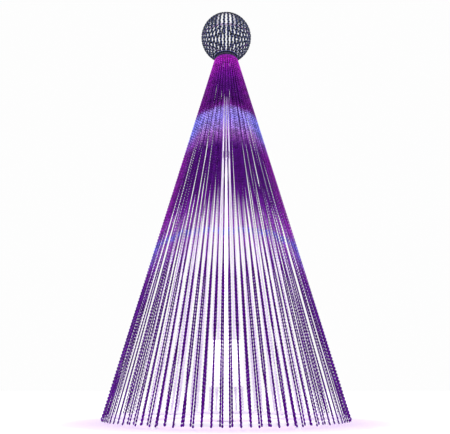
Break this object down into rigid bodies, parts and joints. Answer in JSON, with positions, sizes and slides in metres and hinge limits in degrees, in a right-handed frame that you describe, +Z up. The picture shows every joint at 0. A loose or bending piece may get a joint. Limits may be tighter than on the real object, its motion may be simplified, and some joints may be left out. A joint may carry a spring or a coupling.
{
  "type": "led christmas tree",
  "caption": "Free-standing cone of LED strings hung in panels from a mast and hooked to a floor ring, with a ribbed LED ball that turns on top and a hinged control case inside.",
  "frame": {"origin": "on the floor under the mast, at the centre of the base ring", "axes": "+Z up along the mast, -Y towards the viewer of the picture, +X to that viewer's right"},
  "size_m": [1.6988, 1.6988, 3.2108],
  "materials": {
    "led_violet": "clear beads lit violet, on white tapes",
    "led_navy": "clear beads lit navy and teal",
    "hoop_violet": "satin",
    "white_powder_coat": "satin powder coat",
    "white_plastic": "fine texture",
    "dark_plastic": "fine texture",
    "black_plastic": "fine texture",
    "black_rubber": "matte",
    "white_rubber": "matte",
    "bare_steel": "bare sheet and bar",
    "board_green": "solder mask"
  },
  "bodies": {
    "tree": {"base_hub": "white_powder_coat", "case_bracket": "white_powder_coat", "control_case": "white_plastic", "hinge_pin": "bare_steel", "hub_pad": "white_rubber", "led_panel_01": "led_violet", "led_panel_02": "led_violet", "led_panel_03": "led_violet", "led_panel_04": "led_violet", "led_panel_05": "led_violet", "led_panel_06": "led_violet", "led_panel_07": "led_violet", "led_panel_08": "led_violet", "led_panel_09": "led_violet", "led_panel_10": "led_violet", "led_panel_11": "led_violet", "led_panel_12": "led_violet", "mast_collar_1": "white_plastic", "mast_collar_2": "white_plastic", "mast_lead": "black_rubber", "mast_lower": "white_powder_coat", "mast_middle": "white_powder_coat", "mast_upper": "white_powder_coat", "pixel_controller": "board_green", "power_inlet": "black_plastic", "power_supply": "bare_steel", "ring_segment_1": "white_powder_coat", "ring_segment_2": "white_powder_coat", "ring_segment_3": "white_powder_coat", "ring_segment_4": "white_powder_coat", "ring_segment_5": "white_powder_coat", "ring_segment_6": "white_powder_coat", "ring_tee_1": "white_plastic", "ring_tee_2": "white_plastic", "ring_tee_3": "white_plastic", "ring_tee_4": "white_plastic", "ring_tee_5": "white_plastic", "ring_tee_6": "white_plastic", "spoke_1": "white_powder_coat", "spoke_2": "white_powder_coat", "spoke_3": "white_powder_coat", "spoke_4": "white_powder_coat", "spoke_5": "white_powder_coat", "spoke_6": "white_powder_coat", "string_carrier": "white_powder_coat", "switch_housing": "black_plastic"},
    "door": {"case_door": "white_plastic"},
    "latch": {"door_latch": "black_plastic"},
    "rocker": {"power_switch": "black_plastic"},
    "button": {"mode_button": "black_plastic"},
    "knob_lower": {"collar_knob_1": "white_plastic"},
    "knob_upper": {"collar_knob_2": "white_plastic"},
    "ball": {"ball_bowl": "dark_plastic", "ball_crown": "white_plastic", "ball_hoop": "hoop_violet", "ball_sector_1": "led_navy", "ball_sector_2": "led_navy", "ball_sector_3": "led_navy", "ball_sector_4": "led_navy"}
  },
  "joints": [
    {"name": "ball_turn", "type": "hinge", "parent": "tree", "child": "ball", "pos_m": [0, 0, 2.8146], "axis": [0, 0, 1], "range_deg": [-180, 180]},
    {"name": "door_hinge", "type": "hinge", "parent": "tree", "child": "door", "pos_m": [0.1265, 0.15045, 0.3935], "axis": [0, 0, -1], "range_deg": [0, 110]},
    {"name": "latch_turn", "type": "hinge", "parent": "door", "child": "latch", "pos_m": [-0.095, 0.1506, 0.3935], "axis": [0, -1, 0], "range_deg": [0, 90]},
    {"name": "switch_rock", "type": "hinge", "parent": "tree", "child": "rocker", "pos_m": [-0.1171, 0.0903, 0.3135], "axis": [0, -1, 0], "range_deg": [0, 20]},
    {"name": "button_press", "type": "slide", "parent": "tree", "child": "button", "axis": [1, 0, 0], "range_m": [0, 0.002], "stiffness_N_per_m": 300},
    {"name": "knob_lower_turn", "type": "hinge", "parent": "tree", "child": "knob_lower", "pos_m": [0, 0, 1.0842], "axis": [0, 1, 0], "range_deg": [0, 180]},
    {"name": "knob_upper_turn", "type": "hinge", "parent": "tree", "child": "knob_upper", "pos_m": [0, 0, 1.9844], "axis": [0, 1, 0], "range_deg": [0, 180]}
  ]
}
